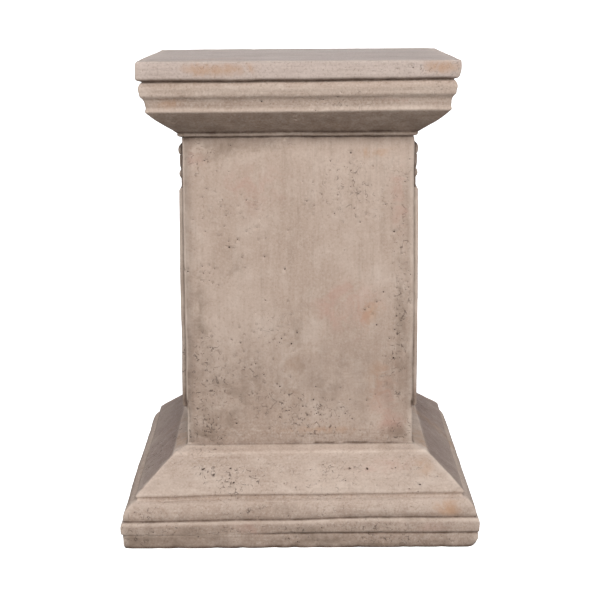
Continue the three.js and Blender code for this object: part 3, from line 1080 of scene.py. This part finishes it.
class Graph:
    """Short names for the shader nodes of a material or of the world."""

    def __init__(self, owner):
        owner.use_nodes = True
        self.nodes = owner.node_tree.nodes
        self.links = owner.node_tree.links
        self.nodes.clear()
        self.place = self.nodes.new("ShaderNodeTexCoord").outputs["Object"]

    def node(self, kind, inputs, output=0, **settings):
        """Adds a node, sets it up, feeds its inputs with values or outputs, and returns an output."""
        node = self.nodes.new(kind)
        for name, value in settings.items():
            setattr(node, name, value)
        for key, value in inputs.items():
            if isinstance(value, bpy.types.NodeSocket):
                self.links.new(value, node.inputs[key])
            else:
                node.inputs[key].default_value = value
        return node.outputs[output]

    def mask(self, name):
        return self.node("ShaderNodeAttribute", {}, "Fac", attribute_name=name)

    def math(self, operation, *values):
        return self.node("ShaderNodeMath", dict(enumerate(values)), operation=operation)

    def times(self, first, second):
        return self.math("MULTIPLY", first, second)

    def noise(self, size, detail=4, roughness=0.55, warp=0.0, scale=(1, 1, 1)):
        """Noise with lumps about size millimetres across, from 0 to 1."""
        place = self.node("ShaderNodeVectorMath", {0: self.place, 1: scale}, operation="MULTIPLY")
        inputs = {"Vector": place, "Scale": 0.6 / (size * MM), "Detail": detail}
        inputs |= {"Roughness": roughness, "Distortion": warp}
        return self.node("ShaderNodeTexNoise", inputs)

    def cells(self, size):
        """Distance to the nearest of scattered points about size millimetres apart, in that size."""
        inputs = {"Vector": self.place, "Scale": 1 / (size * MM)}
        return self.node("ShaderNodeTexVoronoi", inputs, "Distance")

    def spread(self, value, low, high, to_low=0.0, to_high=1.0):
        """Takes low to high evenly to to_low to to_high, and is level beyond."""
        inputs = dict(enumerate((value, low, high, to_low, to_high)))
        return self.node("ShaderNodeMapRange", inputs)

    def mix(self, share, first, second):
        """The first colour where share is 0, and the second where it is 1."""
        return self.node("ShaderNodeMix", {0: share, 6: first, 7: second}, 2, data_type="RGBA")

    def bump(self, height, distance, strength=1.0, under=None):
        """A normal for relief as deep as distance, in millimetres, on top of the normal under it."""
        inputs = {"Height": height, "Distance": distance * MM, "Strength": strength}
        if under is not None:
            inputs["Normal"] = under
        return self.node("ShaderNodeBump", inputs)

    def surface(self, inputs):
        shader = self.node("ShaderNodeBsdfPrincipled", inputs)
        self.links.new(shader, self.nodes.new("ShaderNodeOutputMaterial").inputs[0])


STONE = linear(199, 180, 166)
STONE_DEEP = linear(182, 161, 146)
STONE_PALE = linear(215, 200, 188)
# Painted light and shade: a paler, cooler tone for the slab and the top, a cool grey sheen for the top,
# and a cool shade for the side slopes.
SLAB_AND_TOP_LIGHT = linear(213, 202, 200)
TOP_SHEEN = linear(182, 168, 162)
SIDE_SLOPE_SHADE = linear(156, 135, 131)
PATINA_AND_SHADE = linear(88, 70, 58)
SMEAR = linear(140, 122, 107)
BROWN = linear(146, 121, 101)
ORANGE = linear(188, 148, 116)
ROSE = linear(194, 152, 138)
RUBBED_AND_HIGHLIGHT = linear(226, 210, 196)
PIT_SHADE = linear(60, 46, 38)

# The stone's noises are (size, detail, roughness, warp).
CLOUDS = (95, 5, 0.6, 0.6)
MOTTLE = (20, 7, 0.66, 0.4)
GRAIN = (2.0, 3, 0.7)
# How strong the marks of brush and grain are on the mouldings, and on the smoothed shaft.
BRUSHED = (0.45, 0.34)
SPECKLED = (0.7, 0.34)
# Painted light and shade: how much of a paler, cooler tone the slab and the top take, of a cool
# sheen the top takes, and of a cool shade the side slopes take.
PAINTED_LIGHT_TINTS = (("pale", 0.42, SLAB_AND_TOP_LIGHT), ("above", 0.68, TOP_SHEEN), ("shaded_side_slopes", 0.75, SIDE_SLOPE_SHADE))


def stone_colour(g, clouds, mottle, grain, streaks):
    """The cast stone's skin before its patina and painted shade: clouds, brush marks, grain and stains,
    with painted light on the slab and the top and painted shade on the side slopes.
    """
    colour = g.mix(g.spread(clouds, 0.36, 0.66), STONE_DEEP, STONE)
    colour = g.mix(g.spread(mottle, 0.5, 0.76, 0, 0.6), colour, STONE_PALE)
    colour = g.mix(g.spread(mottle, 0.46, 0.26, 0, 0.45), colour, STONE_DEEP)
    # Painted light on the slab and the top, and painted shade on the side slopes.
    for name, share, tint in PAINTED_LIGHT_TINTS:
        colour = g.mix(g.times(g.mask(name), share), colour, tint)
    here = g.spread(g.noise(70, 3, 0.6), 0.35, 0.65, 0.35, 1.0)
    brushed = g.times(here, g.spread(g.mask("upright"), 0, 1, *BRUSHED))
    colour = g.mix(g.times(g.spread(streaks, 0.5, 0.3), brushed), colour, SMEAR)
    colour = g.mix(g.times(g.spread(streaks, 0.52, 0.72), brushed), colour, STONE_PALE)
    speckled = g.spread(g.mask("upright"), 0, 1, *SPECKLED)
    colour = g.mix(g.times(g.spread(grain, 0.53, 0.72), speckled), colour, STONE_PALE)
    return g.mix(g.times(g.spread(grain, 0.47, 0.27), speckled), colour, BROWN)


# Each stain's mask, its colour, and how much of it shows at most.
STAINS = (("warm", ORANGE, 0.8), ("pink", ROSE, 0.6), ("grey", SMEAR, 0.75))


def stained(g, colour, mottle):
    """Adds the stains, ragged at their edges, and the light of worn arrises and painted highlights."""
    torn = g.noise(16, 6, 0.7, 0.8)
    for name, tint, most in STAINS:
        reach = g.math("ADD", g.mask(name), g.spread(torn, 0.3, 0.7, -0.5, 0.4))
        share = g.times(g.spread(reach, 0.1, 0.9), most)
        share = g.times(share, g.spread(g.mask(name), 0.02, 0.3))
        colour = g.mix(share, colour, tint)
    # Light where the wear_and_highlight mask lies: rubbing, and painted highlight on arrises, on the
    # ovolo's lower part and on the tablet's upright walls.
    lightened = g.times(g.mask("wear_and_highlight"), g.spread(mottle, 0.3, 0.65, 0.3, 1.2))
    return g.mix(g.math("MINIMUM", g.times(lightened, 0.8), 0.85), colour, RUBBED_AND_HIGHLIGHT)


def fine_pits(g):
    """Pits too small for the mesh, and short worm-like tracks: thick where the stone is porous."""
    porous = g.mask("porous")
    scattered = g.spread(g.noise(44, 3, 0.6), 0.5, 0.74, 0, 0.1)
    thick = g.math("ADD", g.times(porous, 0.16), scattered)
    dots = g.spread(g.math("SUBTRACT", g.cells(4.6), thick), 0.02, -0.03)
    dots = g.times(dots, g.spread(g.noise(7, 2, 0.5), 0.5, 0.56))
    curl = g.math("ABSOLUTE", g.math("SUBTRACT", g.noise(6.0, 1, 0.5, 0.8), 0.5))
    track = g.spread(curl, 0.03, 0.012)
    torn = g.spread(g.noise(5, 2, 0.5), 0.5, 0.58)
    wandering = g.spread(g.noise(60, 3, 0.6), 0.4, 0.7, -0.2, 0.4)
    where = g.spread(g.math("ADD", porous, wandering), 0.1, 0.6)
    track = g.times(g.times(track, torn), where)
    return g.math("MAXIMUM", dots, g.times(track, 0.8))


# Brush marks are noise drawn out up the shaft, and along the mouldings. The side slopes bear
# only this share of them, and shine less.
UP_THE_SHAFT = (1, 1, 0.09)
ALONG_MOULDINGS = (0.05, 0.05, 1)
SLOPE_STREAKS = 0.2
SHINE = (0.4, 0.2)


def brush_marks(g):
    upright = g.mask("upright")
    streaks_up = g.noise(4.5, 6, 0.7, 0.0, UP_THE_SHAFT)
    streaks_along = g.noise(3.0, 6, 0.72, 0.0, ALONG_MOULDINGS)
    streaks_along = g.times(streaks_along, g.math("SUBTRACT", 1.0, upright))
    streaks = g.math("ADD", g.times(streaks_up, upright), streaks_along)
    strength = g.spread(g.mask("shaded_side_slopes"), 0, 1, 1.0, SLOPE_STREAKS)
    return g.math("ADD", g.times(g.math("SUBTRACT", streaks, 0.5), strength), 0.5)


def stone_material():
    material = bpy.data.materials.new("cast_stone")
    g = Graph(material)
    clouds, mottle, grain = (g.noise(*kind) for kind in (CLOUDS, MOTTLE, GRAIN))
    streaks = brush_marks(g)
    colour = stained(g, stone_colour(g, clouds, mottle, grain, streaks), mottle)

    # Dark brown where the dirt_and_shade mask lies: patina in hollows, and painted shade under the cap,
    # low down, beside the arrises, at the relief ends and on the side slopes.
    broken = g.spread(g.noise(13, 6, 0.7), 0.3, 0.7, 0.55, 1.3)
    darkened = g.math("MINIMUM", g.times(g.mask("dirt_and_shade"), broken), 0.95)
    colour = g.mix(darkened, colour, PATINA_AND_SHADE)

    # Pits, too small for the mesh and cut into it, are painted dark: painted shade inside them.
    pits = fine_pits(g)
    colour = g.mix(g.times(pits, 0.8), colour, PIT_SHADE)
    colour = g.mix(g.times(g.mask("pit"), 0.95), colour, PIT_SHADE)

    skin = g.bump(g.math("ADD", mottle, g.times(streaks, 0.9)), 1.0, 0.5)
    skin = g.bump(grain, 0.35, 0.6, skin)
    skin = g.bump(g.math("SUBTRACT", 1.0, pits), 0.7, 0.7, skin)

    g.surface(
        {
            "Base Color": colour,
            "Roughness": g.spread(mottle, 0.3, 0.7, 0.8, 0.94),
            "Specular IOR Level": g.spread(g.mask("shaded_side_slopes"), 0, 1, *SHINE),
            "Normal": skin,
        }
    )
    return material


# Studio

FLOOR_REACH = 250.0
FLOOR_FINISH = {
    "Base Color": (0.9, 0.9, 0.9, 1),
    "Roughness": 1.0,
    "Specular IOR Level": 0.0,
    "Emission Color": (1, 1, 1, 1),
    "Emission Strength": 1.0,
}


def floor():
    mesh = bpy.data.meshes.new("studio_floor")
    signs = ((-1, -1), (1, -1), (1, 1), (-1, 1))
    corners = [(x * FLOOR_REACH, y * FLOOR_REACH, 0) for x, y in signs]
    mesh.from_pydata(corners, [], [(0, 1, 2, 3)])
    plane = new_object("studio_floor", mesh)
    material = bpy.data.materials.new("floor_white")
    Graph(material).surface(FLOOR_FINISH)
    mesh.materials.append(material)
    # The floor shows white, but throws no light up on the stone.
    plane.visible_diffuse = False
    plane.visible_glossy = False


def sun(name, azimuth, elevation, strength, spread, colour):
    """A soft lamp far away. Azimuth 0 is the front, and 90 the right."""
    lamp = bpy.data.lights.new(name, "SUN")
    lamp.energy = strength
    lamp.angle = math.radians(spread)
    lamp.color = colour
    new_object(name, lamp).rotation_euler = (math.radians(90 - elevation), 0, math.radians(azimuth))


AIR_ABOVE = (0.23, 0.24, 0.26, 1)
AIR_RIM = (1.0, 1.0, 1.0, 1)
AIR_BELOW = (0.33, 0.32, 0.31, 1)
# The air's light from straight down at 0, by the horizon at 0.5, to straight up at 1.
AIR_STOPS = ((0.47, AIR_BELOW), (0.485, AIR_RIM), (0.53, AIR_RIM), (0.57, AIR_ABOVE))


def air():
    """Weak light from all round, with a bright rim at the horizon, where the floor ends."""
    world = bpy.data.worlds.new("studio_air")
    g = Graph(world)
    towards = g.nodes.new("ShaderNodeTexCoord").outputs["Generated"]
    height = g.spread(g.node("ShaderNodeSeparateXYZ", {0: towards}, "Z"), -1.0, 1.0)
    colours = g.nodes.new("ShaderNodeValToRGB")
    stops = colours.color_ramp.elements
    stops[0].position, stops[0].color = 0.0, AIR_BELOW
    stops[1].position, stops[1].color = 1.0, AIR_ABOVE
    for position, colour in AIR_STOPS:
        stops.new(position).color = colour
    g.links.new(height, colours.inputs[0])
    light = g.node("ShaderNodeBackground", {0: colours.outputs[0]})
    g.links.new(light, g.nodes.new("ShaderNodeOutputWorld").inputs[0])
    bpy.context.scene.world = world


def studio():
    floor()
    air()
    sun("key_front", azimuth=4, elevation=35, strength=2.5, spread=36, colour=(1.0, 0.97, 0.95))
    sun("fill_back", azimuth=180, elevation=8, strength=0.8, spread=14, colour=(1.0, 0.98, 0.96))
    view = bpy.context.scene.view_settings
    view.view_transform = "Standard"
    view.look = "None"


# Camera, from the photograph's perspective

CAMERA_PLACE = (1.34, -2460.7, 800.15)
CAMERA_DOWN = math.radians(11.1086)
CAMERA_ROLL = math.radians(-0.3212)
SENSOR = 36.0
FOCAL_PIXELS = 1592.45
FRAME_PIXELS = 600


def camera():
    data = bpy.data.cameras.new("photo_camera")
    data.sensor_width = SENSOR
    data.lens = SENSOR * FOCAL_PIXELS / FRAME_PIXELS
    data.clip_end = 1000
    eye = new_object("photo_camera", data)
    tilt = Matrix.Rotation(math.pi / 2 - CAMERA_DOWN, 4, "X") @ Matrix.Rotation(CAMERA_ROLL, 4, "Z")
    eye.matrix_world = Matrix.Translation(Vector(CAMERA_PLACE) * MM) @ tilt
    bpy.context.scene.camera = eye


camera()
studio()
pedestal = cast_body()
pedestal.data.materials.append(stone_material())
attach(pedestal, "root")
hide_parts(NODE)
